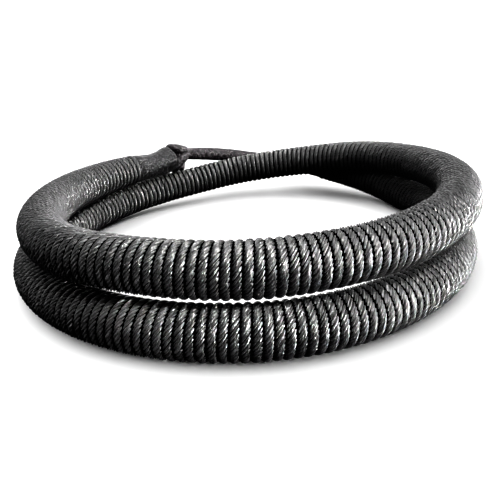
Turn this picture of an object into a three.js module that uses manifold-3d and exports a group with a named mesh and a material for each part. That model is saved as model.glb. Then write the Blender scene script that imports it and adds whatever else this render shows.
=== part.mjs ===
// Igal head cord: one thick rope, wound all over with twisted cord, that goes
// almost twice round the head, with its two ends tied by a short thin cord.
// Millimetres, +Z up. The ring lies flat, its front towards -Y.
import * as THREE from "three";
import { mergeVertices } from "three/addons/utils/BufferGeometryUtils.js";
import Module from "manifold-3d";

// Driving dimensions
const ROPE_THICK = 20;
const FRONT_THICK = 20.3;
const ROPE_SIDES = 8;
const ROPE_SHARE = 0.97; // flat of the eight-sided section, as a share of half the rope's thickness
const LYING = (ROPE_SHARE * FRONT_THICK) / 2; // height of the rope's middle where it lies flat
const WINDING_PITCH = 3.4; // one turn of the winding cord along the rope
const GROOVE_SHARE = 0.91; // radius in the groove between two turns, as a share of the crest's
const PRESSED_SHARE = 0.9; // past this share of straight down, the rope is pressed flat
const NECK_SIDES = 12;
const TIE_THICK = 6.6;
const TIE_SIDES = 10;
const TIE_STEPS = 16;
const KNOT_SIDES = 10;
const KNOT_CORE = { along: 5, across: 6, tall: 7 };
const KNOT_LOOP = { radius: 5.2, thick: 5.8, steps: 12, sides: 6 };
const KNOT_TILTS = [
  { lean: 0.4, turn: 0.3 },
  { lean: -0.45, turn: -0.25 },
];
const KNOT_TAIL = { thick: 5, length: 4.5, lean: 0.15, drop: 4.4, aside: -0.6 };
const GAP = 0.3; // between pieces that meet
const MERGE_WITHIN = 1e-4;

// The ring's centre, placed so that the origin is under the middle of the whole object
const RING_CENTRE = { x: 1.7, y: -3 };

// Rope, along its middle: angle round the ring from +X, seen from above
const ROPE_ROWS = [
  { angle: 139, radius: 94.5, height: 30.5, thick: 18 },
  { angle: 160, radius: 95.5, height: 30, thick: ROPE_THICK },
  { angle: 190, radius: 98.5, height: 30, thick: ROPE_THICK },
  { angle: 225, radius: 103, height: 30.8, thick: ROPE_THICK },
  { angle: 270, radius: 100.5, height: 30.5, thick: FRONT_THICK },
  { angle: 315, radius: 97.8, height: 31.7, thick: FRONT_THICK },
  { angle: 355, radius: 99.5, height: 33.5, thick: ROPE_THICK },
  { angle: 385, radius: 101.5, height: 32.5, thick: ROPE_THICK },
  { angle: 405, radius: 100.5, height: 30, thick: ROPE_THICK },
  { angle: 425, radius: 99.5, height: 25.5, thick: 19.5 },
  { angle: 450, radius: 98, height: 20, thick: 19 },
  { angle: 475, radius: 97, height: 14.5, thick: 18.5 },
  { angle: 500, radius: 99, height: 11.5, thick: 19.5 },
  { angle: 520, radius: 101, height: 10, thick: ROPE_THICK },
  { angle: 545, radius: 104.5, height: LYING, thick: ROPE_THICK },
  { angle: 585, radius: 106.5, height: LYING, thick: ROPE_THICK },
  { angle: 630, radius: 105, height: LYING, thick: FRONT_THICK },
  { angle: 675, radius: 99.8, height: LYING, thick: FRONT_THICK },
  { angle: 715, radius: 99, height: LYING, thick: ROPE_THICK },
  { angle: 735, radius: 103.5, height: LYING, thick: ROPE_THICK },
  { angle: 750, radius: 107, height: 11, thick: ROPE_THICK },
  { angle: 765, radius: 112.5, height: 13.5, thick: ROPE_THICK },
  { angle: 784, radius: 118.5, height: 17.5, thick: 18.5 },
];

// Bare necks, from the wound rope's end to where the thin cord begins
const UPPER_NECK_ROWS = [
  { angle: 139, radius: 94.5, height: 30.5, thick: 16.4 },
  { angle: 135.5, radius: 94.4, height: 30.4, thick: 15.8 },
  { angle: 131, radius: 94.5, height: 30.8, thick: 14.6 },
  { angle: 127, radius: 95, height: 32, thick: 14 },
  { angle: 124, radius: 95.7, height: 33, thick: 14 },
  { angle: 121, radius: 96.6, height: 33.8, thick: 12.8 },
];
const LOWER_NECK_ROWS = [
  { angle: 784, radius: 118.5, height: 17.5, thick: 16.8 },
  { angle: 787, radius: 119.4, height: 18.1, thick: 15.9 },
  { angle: 791, radius: 119.8, height: 19.1, thick: 14.6 },
  { angle: 796, radius: 119, height: 20.4, thick: 13.2 },
];
const KNOT_PLACE = { angle: 118, radius: 98, height: 33 };

// Thin cord, from the knot round the outside of the back strand to the lower neck
const TIE_ROWS = [
  { angle: 114.5, radius: 99.5, height: 33.6 },
  { angle: 107, radius: 105, height: 31.4 },
  { angle: 101, radius: 108, height: 29.3 },
  { angle: 95, radius: 110.8, height: 26.9 },
  { angle: 89, radius: 113.4, height: 24.7 },
  { angle: 82, radius: 116.5, height: 22.4 },
  { angle: 76.3, radius: 118.8, height: 20.5 },
];

const UP = new THREE.Vector3(0, 0, 1);

// A place given by its angle, radius and height round the ring
function ringPoint({ angle, radius, height }) {
  const turn = THREE.MathUtils.degToRad(angle);
  const x = RING_CENTRE.x + radius * Math.cos(turn);
  const y = RING_CENTRE.y + radius * Math.sin(turn);
  return new THREE.Vector3(x, y, height);
}

// How fast a column changes at a row: level stretches stay level
function slopeAt(rows, column, row) {
  const before = rows[Math.max(row - 1, 0)];
  const here = rows[row];
  const after = rows[Math.min(row + 1, rows.length - 1)];
  const level = (a, b) => a !== b && a[column] === b[column];
  if (level(before, here) || level(here, after)) return 0;
  return (after[column] - before[column]) / (after.angle - before.angle);
}

// A column's smooth value at an angle between the table's rows
function columnAt(rows, column, angle) {
  const rising = rows[0].angle < rows[1].angle ? 1 : -1;
  let row = 0;
  while (row < rows.length - 2 && (angle - rows[row + 1].angle) * rising > 0) row += 1;
  const [start, end] = [rows[row], rows[row + 1]];
  const span = end.angle - start.angle;
  const t = (angle - start.angle) / span;
  const rise = (t * t * t - 2 * t * t + t) * span * slopeAt(rows, column, row);
  const fall = (t * t * t - t * t) * span * slopeAt(rows, column, row + 1);
  const blend = t * t * (3 - 2 * t);
  return start[column] * (1 - blend) + end[column] * blend + rise + fall;
}

// The smooth curve through a table's rows
class RingCurve extends THREE.Curve {
  constructor(rows) {
    super();
    this.rows = rows;
    this.arcLengthDivisions = 100 * rows.length;
  }

  angleAt(t) {
    return THREE.MathUtils.lerp(this.rows[0].angle, this.rows[this.rows.length - 1].angle, t);
  }

  getPoint(t) {
    const angle = this.angleAt(t);
    const radius = columnAt(this.rows, "radius", angle);
    const height = columnAt(this.rows, "height", angle);
    return ringPoint({ angle, radius, height });
  }

  // Place, directions and thickness at a distance along the curve
  sectionAt(distance) {
    const t = this.getUtoTmapping(0, Math.min(distance, this.getLength()));
    const along = this.getTangent(t);
    const side = new THREE.Vector3().crossVectors(along, UP).normalize();
    const up = new THREE.Vector3().crossVectors(side, along);
    const thick = columnAt(this.rows, "thick", this.angleAt(t));
    return { point: this.getPoint(t), side, up, thick };
  }
}

// A closed solid with only its positions, shared vertices merged
function closedSolid(geometry) {
  geometry.deleteAttribute("normal");
  geometry.deleteAttribute("uv");
  return mergeVertices(geometry, MERGE_WITHIN);
}

// Bends a straight turned piece, of radius 1 and along +Y, onto a curve and its thickness
function bendAlong(curve, turned, pressed) {
  const place = turned.getAttribute("position");
  for (let i = 0; i < place.count; i += 1) {
    const { point, side, up, thick } = curve.sectionAt(place.getY(i));
    const across = new THREE.Vector2(place.getX(i), place.getZ(i));
    if (pressed && across.y < -PRESSED_SHARE * across.length()) across.setLength(pressed);
    across.multiplyScalar(thick / 2);
    point.addScaledVector(side, across.x).addScaledVector(up, across.y);
    place.setXYZ(i, point.x, point.y, point.z);
  }
  return closedSolid(turned);
}

// The wound rope: a crest and a groove for each turn of the winding
function woundRope() {
  const curve = new RingCurve(ROPE_ROWS);
  const length = curve.getLength();
  const turns = Math.round(length / WINDING_PITCH);
  const crest = ROPE_SHARE / Math.cos(Math.PI / ROPE_SIDES);
  const profile = [new THREE.Vector2(0, 0)];
  for (let half = 0; half <= 2 * turns; half += 1) {
    const radius = half % 2 ? crest : crest * GROOVE_SHARE;
    profile.push(new THREE.Vector2(radius, (length * half) / (2 * turns)));
  }
  profile.push(new THREE.Vector2(0, length));
  const turned = new THREE.LatheGeometry(profile, ROPE_SIDES, Math.PI / ROPE_SIDES);
  return bendAlong(curve, turned, crest);
}

// A bare neck: a smooth taper with a ring at each step
function bareNeck(rows) {
  const curve = new RingCurve(rows);
  const length = curve.getLength();
  const steps = 2 * (rows.length - 1);
  const profile = [new THREE.Vector2(0, GAP)];
  for (let step = 0; step <= steps; step += 1) {
    profile.push(new THREE.Vector2(1, GAP + ((length - GAP) * step) / steps));
  }
  profile.push(new THREE.Vector2(0, length));
  return bendAlong(curve, new THREE.LatheGeometry(profile, NECK_SIDES), 0);
}

// The thin tie cord: a round section along its route
function tieCord(rows, thick) {
  const section = new THREE.Shape();
  section.absarc(0, 0, thick / 2, 0, 2 * Math.PI);
  const extrudePath = new THREE.CatmullRomCurve3(rows.map(ringPoint));
  const settings = { steps: TIE_STEPS, curveSegments: TIE_SIDES / 2, bevelEnabled: false, extrudePath };
  return closedSolid(new THREE.ExtrudeGeometry(section, settings));
}

const wasm = await Module();
wasm.setup();

function toManifold(geometry) {
  const solid = closedSolid(geometry);
  const vertProperties = new Float32Array(solid.getAttribute("position").array);
  const triVerts = new Uint32Array(solid.getIndex().array);
  return new wasm.Manifold(new wasm.Mesh({ numProp: 3, vertProperties, triVerts }));
}

function fromManifold(manifold) {
  const mesh = manifold.getMesh();
  const geometry = new THREE.BufferGeometry();
  geometry.setAttribute("position", new THREE.BufferAttribute(mesh.vertProperties, 3));
  geometry.setIndex(new THREE.BufferAttribute(mesh.triVerts, 1));
  return geometry;
}

// Rows made longer at one end, and thicker, by the gap, to cut a bed that clears what lies in it
function lengthened(rows, end) {
  const outward = Math.sign(rows[end].angle - rows[rows.length - 1 - end].angle);
  const reach = outward * THREE.MathUtils.radToDeg(GAP / rows[end].radius);
  return rows.map((row, i) => ({ ...row, angle: row.angle + (i === end ? reach : 0) }));
}

function thickened(rows) {
  return rows.map((row) => ({ ...row, thick: row.thick + 2 * GAP }));
}

// The knot: a lump of cord crossed by two tilted loops, tied round the neck's end
function knot() {
  const core = new THREE.SphereGeometry(1, KNOT_SIDES, KNOT_SIDES / 2);
  core.scale(KNOT_CORE.along, KNOT_CORE.across, KNOT_CORE.tall);
  const { radius, thick, steps, sides } = KNOT_LOOP;
  const loops = KNOT_TILTS.map(({ lean, turn }) => {
    const loop = new THREE.TorusGeometry(radius, thick / 2, sides, steps);
    return loop.rotateY(Math.PI / 2 + lean).rotateZ(turn);
  });
  const tail = new THREE.CapsuleGeometry(KNOT_TAIL.thick / 2, KNOT_TAIL.length, 2, KNOT_SIDES);
  tail.rotateX(Math.PI / 2).rotateY(KNOT_TAIL.lean).translate(KNOT_TAIL.aside, 0, -KNOT_TAIL.drop);
  const place = ringPoint(KNOT_PLACE);
  const lumps = [core, tail, ...loops].map((lump) => {
    lump.rotateZ(THREE.MathUtils.degToRad(KNOT_PLACE.angle - 90));
    return toManifold(lump.translate(place.x, place.y, place.z));
  });
  const whole = lumps.reduce((sum, lump) => sum.add(lump));
  const neckEnd = UPPER_NECK_ROWS.length - 1;
  const neckBed = toManifold(bareNeck(thickened(lengthened(UPPER_NECK_ROWS, neckEnd))));
  const tieBed = toManifold(tieCord(lengthened(TIE_ROWS, 0), TIE_THICK + 2 * GAP));
  return fromManifold(whole.subtract(neckBed).subtract(tieBed));
}

function piece(name, geometry, color, roughness) {
  geometry.computeVertexNormals();
  const material = new THREE.MeshStandardMaterial({ color, roughness, metalness: 0 });
  const mesh = new THREE.Mesh(geometry, material);
  mesh.name = name;
  return mesh;
}

const group = new THREE.Group();
group.add(piece("wound_rope", woundRope(), 0x26262a, 0.6));
group.add(piece("upper_neck", bareNeck(UPPER_NECK_ROWS), 0x3c3a40, 0.8));
group.add(piece("lower_neck", bareNeck(LOWER_NECK_ROWS), 0x3c3a40, 0.8));
group.add(piece("knot", knot(), 0x3c3a40, 0.8));
group.add(piece("tie_cord", tieCord(TIE_ROWS, TIE_THICK), 0x3c3a40, 0.8));

export default group;
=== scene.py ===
"""Igal head cord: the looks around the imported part.

A thick rope, wound all over with twisted black cord, goes almost twice round. Its ends
narrow to bare cloth necks, which a thin cord and a knot tie together at the back.
Tables are in millimetres, meshes in metres, +Z up, the ring's front towards -Y.
"""

import math
from collections import namedtuple

import bpy
import numpy as np
from mathutils import Matrix, Vector


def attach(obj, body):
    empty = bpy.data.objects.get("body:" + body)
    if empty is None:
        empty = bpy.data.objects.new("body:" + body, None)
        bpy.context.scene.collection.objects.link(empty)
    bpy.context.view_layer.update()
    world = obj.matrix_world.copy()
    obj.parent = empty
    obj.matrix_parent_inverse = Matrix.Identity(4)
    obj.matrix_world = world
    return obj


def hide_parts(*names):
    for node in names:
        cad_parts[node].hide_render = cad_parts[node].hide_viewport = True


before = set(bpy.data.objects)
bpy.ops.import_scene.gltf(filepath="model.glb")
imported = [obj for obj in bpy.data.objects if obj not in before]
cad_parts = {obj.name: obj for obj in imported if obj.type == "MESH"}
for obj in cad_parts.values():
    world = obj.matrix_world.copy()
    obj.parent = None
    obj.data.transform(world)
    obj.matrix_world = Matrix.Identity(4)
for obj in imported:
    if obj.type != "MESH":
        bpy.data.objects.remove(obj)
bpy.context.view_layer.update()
PIECES = bpy.data.collections.new("pieces")
STAGE = bpy.data.collections.new("stage")

MM = 0.001
RING_CENTRE = np.array([1.7, -3.0, 0.0])
UP = np.array([0.0, 0.0, 1.0])
SAMPLES_PER_ROW = 200  # along a table's curve
SLOPE_REACH = 0.05  # degrees to each side, to find which way a curve runs
NOISE_VALUES = 4096

# Winding: a cord of twisted plies, side by side in turns round the rope
WINDING_PITCH = 3.34
WINDING_PIECES = 6
CORD_TALL = 1.6  # half the wound cord's height
CORD_WIDE = 1.64  # half its width
CORD_SQUARENESS = 0.9  # 1 is an ellipse, less is squarer
CORD_SPREAD = 1.85  # how far the mesh reaches to each side of the cord's top, in radians
CORD_COLUMNS = 8
CORD_SWELL = 0.04  # how much its thickness changes, as a share
SWELL_TURNS = 0.4
CORD_WOBBLE = 0.1  # how far it strays along the rope
WOBBLE_TURNS = 0.7
PLIES_PER_TURN = 35
PLY_LAY = 0.033  # how far a ply runs along the cord, in turns for each radian round it
PLY_DEPTH = 0.56
PLY_ROUNDNESS = 0.9
PLY_LOOSENESS = 0.3  # how far a ply strays from its place, in plies
PLY_WEAR = (0.5, 1.3)  # least and most depth of the valley beside a ply, as a share
PLY_TONE = 1.3  # how light a ply is at its crown; towards the valleys beside it the colour falls to black as painted shade
DEEP_VALLEY_SHADE = 0.4  # how much of that a deep valley takes away, as painted shade
VALLEY_NARROWING = 0.6
ROWS_PER_PLY = 4
WEAR_SEED = 3
SWELL_SEED = 4
WOBBLE_SEED = 5
LOOSE_SEED = 6
TUCKED_TURNS = 0.15  # at each end of the winding
TUCK_DEPTH = 3.0
BED_DEPTH = 0.72
BED_INSET = 0.5
BED_STEPS = 600
BED_SIDES = 24

# Rope, along its middle: angle round the ring from +X, seen from above
Row = namedtuple("Row", "angle radius height thick")
LYING = 9.85
ROPE_ROWS = [
    Row(139, 94.5, 30.5, 18),
    Row(160, 95.5, 30, 20),
    Row(190, 98.5, 30, 20),
    Row(225, 103, 30.5, 20),
    Row(248, 101.8, 30.9, 20),
    Row(270, 100.5, 30.6, 20.3),
    Row(292, 99, 31.3, 20.1),
    Row(315, 97.8, 31.7, 20.3),
    Row(355, 99.5, 33.5, 20),
    Row(385, 101.5, 32.1, 20),
    Row(405, 100.5, 30, 20),
    Row(425, 99.5, 25.5, 19.5),
    Row(450, 98, 20, 19),
    Row(475, 97, 14.5, 18.5),
    Row(500, 99, 11.5, 19.5),
    Row(520, 101, 10.1, 20),
    Row(545, 104.5, LYING, 20),
    Row(585, 106.5, LYING, 20),
    Row(630, 105, LYING, 20.3),
    Row(675, 99.8, LYING, 20.3),
    Row(715, 99, LYING, 20),
    Row(735, 103.5, 10.2, 20),
    Row(750, 107, 11, 20),
    Row(765, 112.5, 13.5, 20),
    Row(784, 118.5, 17.5, 18.5),
]

# Bare necks, each with one row inside the wound rope
UPPER_NECK_ROWS = [
    Row(121.5, 96.6, 34.1, 14.2),
    Row(122.1, 96.4, 33.7, 15.6),
    Row(124, 95.7, 32.1, 16.4),
    Row(127, 95, 30.8, 15.8),
    Row(131, 94.5, 30.1, 15.2),
    Row(135.5, 94.4, 30.2, 15.8),
    Row(139, 94.5, 30.5, 16.6),
    Row(141, 94.6, 30.5, 16.8),
]
LOWER_NECK_ROWS = [
    Row(782.5, 118, 17.2, 17),
    Row(784, 118.5, 17.5, 16.8),
    Row(787, 119.4, 18.1, 15.9),
    Row(791, 119.8, 19.1, 14.6),
    Row(796, 119, 20.4, 13.2),
    Row(797.4, 118.5, 20.8, 12.4),
]
UPPER_NECK_ROUND = 1.8  # length of the rounded end
LOWER_NECK_ROUND = 4.0

# Thin cord, from the lower neck round the outside of the back strand into the knot
TIE_ROWS = [
    Row(74.5, 119, 20.1, 6.4),
    Row(76.3, 118.8, 20.5, 6.6),
    Row(82, 116.5, 22.4, 6.8),
    Row(89, 113.4, 24.7, 7.2),
    Row(95, 110.8, 26.9, 8.2),
    Row(101, 108, 28.9, 8.6),
    Row(107, 105, 30.9, 8.4),
    Row(114.5, 99.5, 33.2, 7.4),
    Row(117, 98, 33.4, 6.4),
]
TIE_ROUND = 2.0

# Knot, from its own middle: x towards the thin cord, y away from the hollow, z up
Place = namedtuple("Place", "angle radius height")
KNOT_PLACE = Place(118, 98, 33)
Turn = namedtuple("Turn", "x y z thick")
KNOT_STRAND = [
    Turn(8, 0.6, 1.5, 6.2),
    Turn(4.2, -2.6, 1.2, 5.8),
    Turn(0.2, -5, -1.2, 5.6),
    Turn(-4.4, -4.8, -5, 5.8),
    Turn(-5.2, -0.6, -7.6, 6),
    Turn(-4.8, 4.4, -4.4, 5.8),
    Turn(-5.4, 4.8, 1.5, 5.6),
    Turn(-6, 2.2, 5.2, 5.4),
    Turn(-3.8, -2.4, 6, 5.2),
    Turn(1.2, -3.4, 4.4, 5.2),
    Turn(3.8, -0.6, 2.8, 5.2),
    Turn(3.4, 3.2, 0, 5.2),
    Turn(1.6, 2.2, -3.6, 5.2),
    Turn(-0.6, -2.4, -5.8, 5.2),
    Turn(-2.2, -4.8, -9, 5),
]
KNOT_ROUND = (2.0, 2.2)
KNOT_CORE = (5, 5, 6.6)  # half its size along x, y and z
CORE_RINGS = 20
CORE_SIDES = 32
CORE_POLE = 0.01  # radians left open at each pole

# Soft tubes: steps along and sides round, and slight lumps in waves along and round
SLEEVE_MESH = (90, 48)
TIE_MESH = (160, 24)
KNOT_MESH = (260, 24)
TUBE_LUMP = 0.02
KNOT_LUMP = 0.03
LUMPS_ROUND = 3
LUMP_TWIST = 0.31  # radians for each millimetre
LUMP_WAVE = 0.45
LUMP_START = 1.3
END_SHARE = 0.0004  # a rounded end stays open by the root of this

# Yarn: noise features for each ply across and for each radian along it
YARN_STRANDS = (4.0, 0.8, 0.0)
YARN_BREAKS = (1.0, 2.6, 0.0)
STRAND_SHARE = 0.4
BREAK_SHARE = 0.2
PLAIN_SHARE = 0.2
# The yarn's colour ramp: its dark end is painted shade in the valleys between the plies.
YARN_TONES = (0.24, 0.58)
YARN_COLOURS = ((0.0003, 0.0003, 0.0003), (0.018, 0.0173, 0.0185))
YARN_ROUGH_TONES = (0.2, 0.45)
YARN_ROUGHNESS = (0.5, 0.32)
YARN_SHINE = 0.9
YARN_BUMP = 0.001
FINE_DETAIL = 3.0

# Bed of the winding, coloured near black as painted shade in the grooves
BED_PATCHES = 400.0  # noise features for each metre
BED_TONES = (0.3, 0.7)
GROOVE_SHADE_COLOURS = ((0.0002, 0.0002, 0.0002), (0.0006, 0.0006, 0.0007))

# Cloth: fibre places go along a piece in millimetres and round it as if it were this radius
FIBRE_ROUND = 4.0
PLAIT_BANDS = 5  # how many bands of the plait lean each way round the thin cord
PLAIT_LENGTH = 5.0
BAND_PERIOD = 0.2 * math.pi  # of the band texture at scale 1
PLAIT_SHARE = 0.3
PLAITED_WEAVE_SHARE = 0.6
CLOTH_WEAVE = (0.5, 0.8, 1.0)  # noise features for each millimetre
CLOTH_PATCHES = 700.0  # and for each metre
CLOTH_TONES = (0.43, 0.59)
CLOTH_BUMP = 0.0022
CLOTH_ROUGHNESS = 0.5
Cloth = namedtuple("Cloth", "name dark light shine plaited")
SLEEVE_CLOTH = Cloth("sleeve", (0.0005, 0.0005, 0.0005), (0.0138, 0.0132, 0.0141), 0.24, False)
TIE_CLOTH = Cloth("tie", (0.0006, 0.0005, 0.0006), (0.0165, 0.0125, 0.0146), 0.24, True)
# Like the tie's plaited cloth but with lighter colours: painted light that offsets the shade in
# the knot's creases.
LIT_KNOT_CLOTH = Cloth("knot", (0.001, 0.0009, 0.001), (0.023, 0.0185, 0.021), 0.34, True)

# Camera, in metres and degrees
CAMERA_LENS = 36.4
CAMERA_SENSOR = 36
CAMERA_PLACE = (0.00124, -0.25417, 0.09726)
CAMERA_TURN = 0.26
CAMERA_DOWN = 21.68
CAMERA_ROLL = -2.6

# Studio: lamps in metres, each with the angle that its light spreads over
Lamp = namedtuple("Lamp", "name place size power aim spread")
MIDDLE = (0, 0, 0)
PIECE_LAMPS = [
    Lamp("side", (1.81, -1.22, 0.086), 0.2, 4.5, (-0.12, -0.2, 0.02), 17),
    Lamp("key", (1.2, -0.78, 1.68), 0.6, 106, MIDDLE, 180),
    Lamp("fill", (1.93, 0.1, 1.05), 0.5, 2.4, (-0.2, 0.08, 0.16), 13),
    Lamp("top", (0.0, 0.0, 0.9), 0.5, 9, MIDDLE, 180),
    Lamp("left", (-1.75, 0.0, 0.5), 1.2, 18, MIDDLE, 180),
    Lamp("back", (-0.4, 2.0, 0.9), 1.6, 32, MIDDLE, 180),
]
HOLLOW_LAMP = Lamp("hollow", (0.07, 0.02, 0.13), 0.08, 0.05, MIDDLE, 180)
FLOOR_LIGHT = 4.0
SUN_LEAN = (math.radians(-4), math.radians(-10), 0)  # from the back and the left
SUN_ANGLE = 120
ROOM_GLOW = 0.01
GLOW_FULL_AT = 0.9  # upward part of the direction where the room glows most
FLOOR_SIZE = 6
FLOOR_COLOUR = (0.92, 0.92, 0.92, 1)
FLOOR_ROUGHNESS = 0.9


def noise_line(seed, spacing):
    """A smooth random line: a function of distance, from -1 to 1."""
    values = np.random.default_rng(seed).uniform(-1, 1, NOISE_VALUES)
    at = np.arange(NOISE_VALUES)
    return lambda distance: np.interp(distance / spacing, at, values, period=NOISE_VALUES)


def column(rows, name, angle):
    """A table column's smooth value at angles between its rows; level stretches stay level."""
    at = np.array([row.angle for row in rows], float)
    value = np.array([getattr(row, name) for row in rows], float)
    slope = np.gradient(value, at)
    slope[1:-1] = (value[2:] - value[:-2]) / (at[2:] - at[:-2])
    level = np.diff(value) == 0
    slope[:-1][level] = 0
    slope[1:][level] = 0
    row = np.clip(np.searchsorted(at, angle, side="right") - 1, 0, len(at) - 2)
    span = at[row + 1] - at[row]
    t = (angle - at[row]) / span
    blend = t * t * (3 - 2 * t)
    rise = (t**3 - 2 * t**2 + t) * span * slope[row]
    fall = (t**3 - t**2) * span * slope[row + 1]
    return value[row] * (1 - blend) + value[row + 1] * blend + rise + fall


def length_along(points):
    """The distance from the first of a line of points to each of them."""
    steps = np.linalg.norm(np.diff(points, axis=0), axis=1)
    return np.concatenate([[0], np.cumsum(steps)])


class Path:
    """The smooth curve through a table's rows, by the distance along it."""

    def __init__(self, rows):
        self.rows = rows
        self.angles = np.linspace(rows[0].angle, rows[-1].angle, SAMPLES_PER_ROW * len(rows))
        self.reach = length_along(self.place(self.angles))
        self.length = self.reach[-1]

    def place(self, angle):
        turn = np.radians(angle)
        radius = column(self.rows, "radius", angle)
        height = column(self.rows, "height", angle)
        return RING_CENTRE + np.stack([radius * np.cos(turn), radius * np.sin(turn), height], -1)

    def section(self, distance):
        """Middle, outward side, upward side and thickness at distances along the path."""
        angle = np.interp(distance, self.reach, self.angles)
        along = self.place(angle + SLOPE_REACH) - self.place(angle - SLOPE_REACH)
        along /= np.linalg.norm(along, axis=-1, keepdims=True)
        side = np.cross(along, UP)
        side /= np.linalg.norm(side, axis=-1, keepdims=True)
        return self.place(angle), side, np.cross(side, along), column(self.rows, "thick", angle)


def grid_object(name, points, fibre, wrapped, creases=None):
    """A smooth mesh from a grid of points in millimetres, with a fibre place at each point.
    A wrapped grid joins its last column to its first. Creases says which rows are sharp."""
    rows, columns = points.shape[:2]
    corner = np.arange(rows * columns).reshape(rows, columns)
    after = np.roll(corner, -1, axis=1) if wrapped else corner[:, 1:]
    before = corner if wrapped else corner[:, :-1]
    quads = np.stack([before[:-1], before[1:], after[1:], after[:-1]], -1).reshape(-1, 4)
    mesh = bpy.data.meshes.new(name)
    mesh.vertices.add(rows * columns)
    mesh.vertices.foreach_set("co", (points * MM).astype(np.float32).ravel())
    mesh.loops.add(quads.size)
    mesh.loops.foreach_set("vertex_index", quads.astype(np.int32).ravel())
    mesh.polygons.add(len(quads))
    mesh.polygons.foreach_set("loop_start", np.arange(0, quads.size, 4, dtype=np.int32))
    mesh.update(calc_edges=True)
    mesh.shade_smooth()
    if creases is not None:
        ends = np.empty(2 * len(mesh.edges), np.int32)
        mesh.edges.foreach_get("vertices", ends)
        first, last = ends.reshape(-1, 2).T // columns
        sharp = mesh.attributes.new("sharp_edge", "BOOLEAN", "EDGE")
        sharp.data.foreach_set("value", (first == last) & creases[first])
    layer = mesh.attributes.new("fibre", "FLOAT_VECTOR", "POINT")
    layer.data.foreach_set("vector", fibre.astype(np.float32).ravel())
    piece = bpy.data.objects.new(name, mesh)
    bpy.context.collection.objects.link(piece)
    return piece


def wound_cord(name, path, first, last, turns):
    """The winding between two of its turns. Each row of the mesh runs along a ply."""
    rows_per_turn = PLIES_PER_TURN * ROWS_PER_PLY
    row = np.arange(round(first * rows_per_turn), round(last * rows_per_turn) + 1)[:, None]
    around = np.linspace(-CORD_SPREAD, CORD_SPREAD, CORD_COLUMNS + 1)[None, :]
    ply = row // ROWS_PER_PLY
    across = row % ROWS_PER_PLY / ROWS_PER_PLY
    loose = PLY_LOOSENESS * noise_line(LOOSE_SEED, 1.0)(row / ROWS_PER_PLY)
    turn = (row / ROWS_PER_PLY + loose) / PLIES_PER_TURN + PLY_LAY * around
    plies = int(turns + 2) * PLIES_PER_TURN
    worn = np.random.default_rng(WEAR_SEED).uniform(*PLY_WEAR, plies)[ply]
    crown = np.sin(math.pi * across) ** PLY_ROUNDNESS
    valley = PLY_DEPTH * worn * (1 - crown)
    swell = 1 + CORD_SWELL * noise_line(SWELL_SEED, SWELL_TURNS)(turn)
    wobble = CORD_WOBBLE * noise_line(WOBBLE_SEED, WOBBLE_TURNS)(turn)
    flank = np.sign(around) * np.abs(np.sin(around)) ** CORD_SQUARENESS
    top = np.sign(np.cos(around)) * np.abs(np.cos(around)) ** CORD_SQUARENESS
    aside = CORD_WIDE * flank * swell * (1 - VALLEY_NARROWING * valley)
    distance = WINDING_PITCH * (turn + 0.5) + aside + wobble
    middle, side, up, thick = path.section(np.clip(distance, 0, path.length))
    inset = np.clip(np.minimum(turn, turns - turn) / TUCKED_TURNS, 0, 1)
    out = thick / 2 - CORD_TALL * (1 - top * swell * (1 - valley)) - TUCK_DEPTH * (1 - inset)
    spin = 2 * math.pi * turn
    points = middle + side * (out * np.cos(spin))[..., None] + up * (out * np.sin(spin))[..., None]
    points[..., 2] = np.maximum(points[..., 2], 0)
    # Painted shade: the tone, which sets the yarn's colour, falls to black in the valleys between
    # plies and is lower beside deep valleys.
    tone = crown**2 * (PLY_TONE - DEEP_VALLEY_SHADE * worn)
    fibre = np.stack(np.broadcast_arrays(row / ROWS_PER_PLY, around, tone), -1)
    return grid_object(name, points, fibre, wrapped=False, creases=across[:, 0] == 0)


def rope_bed(path):
    """The rope that shows at the bottom of the grooves, dark with painted shade."""
    distance = np.linspace(BED_INSET, path.length - BED_INSET, BED_STEPS)
    middle, side, up, thick = path.section(distance)
    spin = np.linspace(0, 2 * math.pi, BED_SIDES, endpoint=False)[None, :, None]
    out = (thick / 2 - BED_DEPTH)[:, None, None]
    points = middle[:, None] + out * (side[:, None] * np.cos(spin) + up[:, None] * np.sin(spin))
    return grid_object("rope_bed", points, np.zeros_like(points), wrapped=True)


def tube(name, middle, thick, sides, lump):
    """A soft round tube along a line of points, with slight lumps."""
    along = np.gradient(middle, axis=0)
    along /= np.linalg.norm(along, axis=1, keepdims=True)
    reach = length_along(middle)[:, None]
    side = np.empty_like(middle)
    start = np.cross(along[0], UP)
    for i, way in enumerate(along):
        start = start - way * np.dot(start, way)
        start = start / np.linalg.norm(start)
        side[i] = start
    up = np.cross(side, along)
    spin = np.linspace(0, 2 * math.pi, sides, endpoint=False)[None, :]
    lumps = np.sin(LUMPS_ROUND * spin + reach * LUMP_TWIST)
    swell = lump * lumps * np.sin(reach * LUMP_WAVE + LUMP_START)
    out = thick[:, None] / 2 * (1 + swell)
    points = middle[:, None] + side[:, None] * (out * np.cos(spin))[..., None]
    points = points + up[:, None] * (out * np.sin(spin))[..., None]
    fibre = np.stack(np.broadcast_arrays(reach, spin * FIBRE_ROUND, 0), -1)
    return grid_object(name, points, fibre, wrapped=True)


def rounded_ends(thick, reach, first, last):
    """Thickness that closes to a round end at the start, the end, or both."""
    shape = np.ones_like(thick)
    if first:
        shape *= np.sqrt(np.clip(1 - (1 - reach / first).clip(0) ** 2, END_SHARE, 1))
    if last:
        left = reach[-1] - reach
        shape *= np.sqrt(np.clip(1 - (1 - left / last).clip(0) ** 2, END_SHARE, 1))
    return thick * shape


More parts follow.
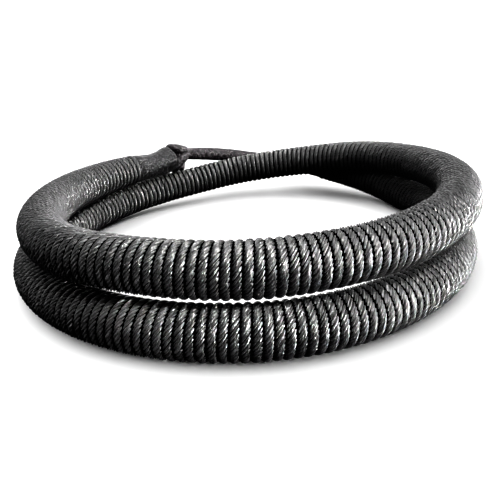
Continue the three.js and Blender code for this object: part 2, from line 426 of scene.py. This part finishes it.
def path_tube(name, rows, mesh_size, first=0.0, last=0.0):
    """A tube along a table's curve; first and last are the lengths of its rounded ends."""
    steps, sides = mesh_size
    path = Path(rows)
    distance = np.linspace(0, path.length, steps)
    middle, _, _, thick = path.section(distance)
    return tube(name, middle, rounded_ends(thick, distance, first, last), sides, TUBE_LUMP)


def knot_point(x, y, z):
    """A place in the knot's own directions, as a place in the ring."""
    way = math.radians(KNOT_PLACE.angle)
    outward = np.array([math.cos(way), math.sin(way), 0])
    toward = np.array([math.sin(way), -math.cos(way), 0])
    centre = RING_CENTRE + KNOT_PLACE.radius * outward + KNOT_PLACE.height * UP
    return centre + np.stack([x, y, z], -1) @ np.stack([toward, outward, UP])


def knot_strand():
    """The knot's one strand, through its turns."""
    steps, sides = KNOT_MESH
    Stop = namedtuple("Stop", "angle x y z thick")
    stops = [Stop(i, *turn) for i, turn in enumerate(KNOT_STRAND)]
    fine = np.linspace(0, len(stops) - 1, steps)
    x, y, z, thick = (column(stops, name, fine) for name in ("x", "y", "z", "thick"))
    middle = knot_point(x, y, z)
    thick = rounded_ends(thick, length_along(middle), *KNOT_ROUND)
    return tube("knot_strand", middle, thick, sides, KNOT_LUMP)


def knot_core():
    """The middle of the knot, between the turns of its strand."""
    tilts = np.linspace(CORE_POLE, math.pi - CORE_POLE, CORE_RINGS)
    spins = np.linspace(0, 2 * math.pi, CORE_SIDES, endpoint=False)
    tilt, spin = np.meshgrid(tilts, spins, indexing="ij")
    along, across, tall = KNOT_CORE
    x = along * np.sin(tilt) * np.cos(spin)
    y = across * np.sin(tilt) * np.sin(spin)
    z = tall * np.cos(tilt)
    points = knot_point(x, y, z)
    return grid_object("knot_core", points, points, wrapped=True)


class Shader:
    """Short ways to add and join nodes in one material."""

    def __init__(self, name):
        self.material = bpy.data.materials.new(name)
        self.material.use_nodes = True
        self.nodes = self.material.node_tree.nodes
        self.links = self.material.node_tree.links
        self.base = self.nodes["Principled BSDF"]

    def add(self, kind, **settings):
        node = self.nodes.new(kind)
        for key, value in settings.items():
            setattr(node, key, value)
        return node

    def put(self, value, socket):
        """Links an output to the socket, or sets the socket to a plain value."""
        if hasattr(value, "links"):
            self.links.new(value, socket)
        else:
            socket.default_value = value

    def math(self, operation, first, second):
        node = self.add("ShaderNodeMath", operation=operation)
        self.put(first, node.inputs[0])
        self.put(second, node.inputs[1])
        return node.outputs[0]

    def weighted(self, first, first_share, second, second_share):
        one = self.math("MULTIPLY", first, first_share)
        other = self.math("MULTIPLY", second, second_share)
        return self.math("ADD", one, other)

    def scaled(self, vector, scale):
        node = self.add("ShaderNodeVectorMath", operation="MULTIPLY")
        self.put(vector, node.inputs[0])
        self.put(scale, node.inputs[1])
        return node.outputs[0]

    def noise(self, vector, scale=1.0, detail=2.0):
        node = self.add("ShaderNodeTexNoise")
        self.put(vector, node.inputs["Vector"])
        self.put(scale, node.inputs["Scale"])
        self.put(detail, node.inputs["Detail"])
        return node.outputs["Fac"]

    def bands(self, vector):
        node = self.add("ShaderNodeTexWave", bands_direction="DIAGONAL")
        self.put(vector, node.inputs["Vector"])
        self.put(1.0, node.inputs["Scale"])
        return node.outputs["Fac"]

    def ramp(self, value, places, colours):
        node = self.add("ShaderNodeValToRGB")
        self.put(value, node.inputs[0])
        for end, place, colour in zip(node.color_ramp.elements, places, colours):
            end.position = place
            end.color = (*colour, 1)
        return node.outputs[0]

    def graded(self, value, span, results):
        node = self.add("ShaderNodeMapRange")
        self.put(value, node.inputs["Value"])
        names = ("From Min", "From Max", "To Min", "To Max")
        for name, number in zip(names, (*span, *results)):
            self.put(number, node.inputs[name])
        return node.outputs[0]

    def bump(self, height, distance):
        node = self.add("ShaderNodeBump")
        self.put(height, node.inputs["Height"])
        self.put(1.0, node.inputs["Strength"])
        self.put(distance, node.inputs["Distance"])
        self.links.new(node.outputs[0], self.base.inputs["Normal"])

    def fibre(self):
        return self.add("ShaderNodeAttribute", attribute_name="fibre").outputs["Vector"]

    def place(self):
        return self.add("ShaderNodeTexCoord").outputs["Object"]

    def finish(self, colour, roughness, shine):
        self.put(colour, self.base.inputs["Base Color"])
        self.put(roughness, self.base.inputs["Roughness"])
        self.put(shine, self.base.inputs["Specular IOR Level"])
        return self.material


def winding_material():
    """Black twisted yarn: fine fibres along each ply, patchy shine, and painted shade that makes
    it dark between the plies.
    """
    shade = Shader("winding")
    fibre = shade.fibre()
    strands = shade.noise(shade.scaled(fibre, YARN_STRANDS), detail=FINE_DETAIL)
    breaks = shade.noise(shade.scaled(fibre, YARN_BREAKS))
    # The fibre's Z is the painted shade between the plies; it scales the tone that sets the
    # colour.
    crown = shade.add("ShaderNodeSeparateXYZ")
    shade.links.new(fibre, crown.inputs[0])
    tone = shade.weighted(strands, STRAND_SHARE, breaks, BREAK_SHARE)
    tone = shade.math("MULTIPLY", shade.math("ADD", tone, PLAIN_SHARE), crown.outputs["Z"])
    colour = shade.ramp(tone, YARN_TONES, YARN_COLOURS)
    shade.bump(strands, YARN_BUMP)
    roughness = shade.graded(tone, YARN_ROUGH_TONES, YARN_ROUGHNESS)
    return shade.finish(colour, roughness, YARN_SHINE)


def groove_shade_material():
    """Painted shade for the bottom of the grooves: near-black mottled cloth with no shine."""
    shade = Shader("winding_groove_shade")
    patches = shade.noise(shade.place(), BED_PATCHES)
    return shade.finish(shade.ramp(patches, BED_TONES, GROOVE_SHADE_COLOURS), 1.0, 0.0)


def cloth_material(cloth):
    """Soft dark cloth: a fine weave or a plait, mottled."""
    shade = Shader(cloth.name)
    fibre = shade.fibre()
    weave = shade.noise(shade.scaled(fibre, CLOTH_WEAVE), detail=FINE_DETAIL)
    if cloth.plaited:
        along = BAND_PERIOD / PLAIT_LENGTH
        around = BAND_PERIOD * PLAIT_BANDS / (2 * math.pi * FIBRE_ROUND)
        left = shade.bands(shade.scaled(fibre, (along, around, 0.0)))
        right = shade.bands(shade.scaled(fibre, (along, -around, 0.0)))
        plait = shade.math("MAXIMUM", left, right)
        weave = shade.weighted(weave, PLAITED_WEAVE_SHARE, plait, PLAIT_SHARE)
    patches = shade.noise(shade.place(), CLOTH_PATCHES)
    tone = shade.weighted(weave, 0.5, patches, 0.5)
    colour = shade.ramp(tone, CLOTH_TONES, (cloth.dark, cloth.light))
    shade.bump(tone, CLOTH_BUMP)
    return shade.finish(colour, CLOTH_ROUGHNESS, cloth.shine)


def add_piece(piece, node, material):
    piece.data.materials.append(material)
    PIECES.objects.link(piece)
    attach(piece, "root")
    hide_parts(node)


def add_rope():
    """The winding, in several pieces, and the bed under it."""
    material = winding_material()
    path = Path(ROPE_ROWS)
    turns = path.length / WINDING_PITCH - 1
    edges = np.linspace(0, turns, WINDING_PIECES + 1)
    for i in range(WINDING_PIECES):
        piece = wound_cord(f"winding_{i + 1}", path, edges[i], edges[i + 1], turns)
        add_piece(piece, "wound_rope", material)
    # The bed's near-black colour is painted shade in the grooves.
    add_piece(rope_bed(path), "wound_rope", groove_shade_material())


def add_ends():
    """The two sleeves, the thin cord and the knot."""
    sleeve = cloth_material(SLEEVE_CLOTH)
    tie = cloth_material(TIE_CLOTH)
    knot = cloth_material(LIT_KNOT_CLOTH)
    upper = path_tube("upper_neck_sleeve", UPPER_NECK_ROWS, SLEEVE_MESH, first=UPPER_NECK_ROUND)
    lower = path_tube("lower_neck_sleeve", LOWER_NECK_ROWS, SLEEVE_MESH, last=LOWER_NECK_ROUND)
    cord = path_tube("tie_cord_tube", TIE_ROWS, TIE_MESH, last=TIE_ROUND)
    add_piece(upper, "upper_neck", sleeve)
    add_piece(lower, "lower_neck", sleeve)
    add_piece(cord, "tie_cord", tie)
    add_piece(knot_strand(), "knot", knot)
    add_piece(knot_core(), "knot", knot)


def add_floor():
    """A pale floor that isn't mirrored in the pieces and throws no light on them."""
    bpy.ops.mesh.primitive_plane_add(size=FLOOR_SIZE)
    floor = bpy.context.object
    floor.name = "floor"
    shade = Shader("pale_floor")
    shade.put(FLOOR_COLOUR, shade.base.inputs["Base Color"])
    shade.put(FLOOR_ROUGHNESS, shade.base.inputs["Roughness"])
    floor.data.materials.append(shade.material)
    floor.visible_diffuse = False
    floor.visible_glossy = False
    STAGE.objects.link(floor)


def add_camera():
    """The photo's view: in front of the ring, a little above it, tilted slightly."""
    data = bpy.data.cameras.new("camera")
    data.lens = CAMERA_LENS
    data.sensor_width = CAMERA_SENSOR
    camera = bpy.data.objects.new("camera", data)
    turn = Matrix.Rotation(math.radians(CAMERA_TURN), 4, "Z")
    nod = Matrix.Rotation(math.radians(90 - CAMERA_DOWN), 4, "X")
    roll = Matrix.Rotation(math.radians(CAMERA_ROLL), 4, "Z")
    camera.matrix_world = Matrix.Translation(CAMERA_PLACE) @ turn @ nod @ roll
    bpy.context.collection.objects.link(camera)
    bpy.context.scene.camera = camera


def add_lamp(lamp, receivers):
    """A square soft light. A small spread keeps its light near the aim."""
    data = bpy.data.lights.new(lamp.name, "AREA")
    data.size = lamp.size
    data.energy = lamp.power
    data.spread = math.radians(lamp.spread)
    light = bpy.data.objects.new(lamp.name, data)
    light.location = lamp.place
    way = Vector(lamp.place) - Vector(lamp.aim)
    light.rotation_euler = way.to_track_quat("Z", "Y").to_euler()
    light.light_linking.receiver_collection = receivers
    light.visible_camera = False
    bpy.context.collection.objects.link(light)


def add_floor_light():
    """Even light on the floor from a wide part of the sky, with very soft shadows."""
    data = bpy.data.lights.new("floor_light", "SUN")
    data.energy = FLOOR_LIGHT
    data.angle = math.radians(SUN_ANGLE)
    light = bpy.data.objects.new("floor_light", data)
    light.rotation_euler = SUN_LEAN
    light.light_linking.receiver_collection = STAGE
    bpy.context.collection.objects.link(light)


def add_world():
    """A white room that gives little light of its own, most of it from overhead."""
    world = bpy.data.worlds.new("studio")
    world.use_nodes = True
    nodes = world.node_tree.nodes
    links = world.node_tree.links
    way = nodes.new("ShaderNodeSeparateXYZ")
    links.new(nodes.new("ShaderNodeTexCoord").outputs["Generated"], way.inputs[0])
    glow = nodes.new("ShaderNodeMapRange")
    glow.inputs["From Min"].default_value = 0.0
    glow.inputs["From Max"].default_value = GLOW_FULL_AT
    glow.inputs["To Max"].default_value = ROOM_GLOW
    links.new(way.outputs["Z"], glow.inputs["Value"])
    seen = nodes.new("ShaderNodeMath")
    seen.operation = "MAXIMUM"
    links.new(nodes.new("ShaderNodeLightPath").outputs["Is Camera Ray"], seen.inputs[0])
    links.new(glow.outputs[0], seen.inputs[1])
    links.new(seen.outputs[0], nodes["Background"].inputs["Color"])
    bpy.context.scene.world = world


def add_lights():
    add_world()
    add_floor_light()
    for lamp in PIECE_LAMPS:
        add_lamp(lamp, PIECES)
    add_lamp(HOLLOW_LAMP, STAGE)


bpy.context.scene.view_settings.view_transform = "Standard"
bpy.context.scene.view_settings.look = "High Contrast"
add_camera()
add_rope()
add_ends()
add_floor()
add_lights()
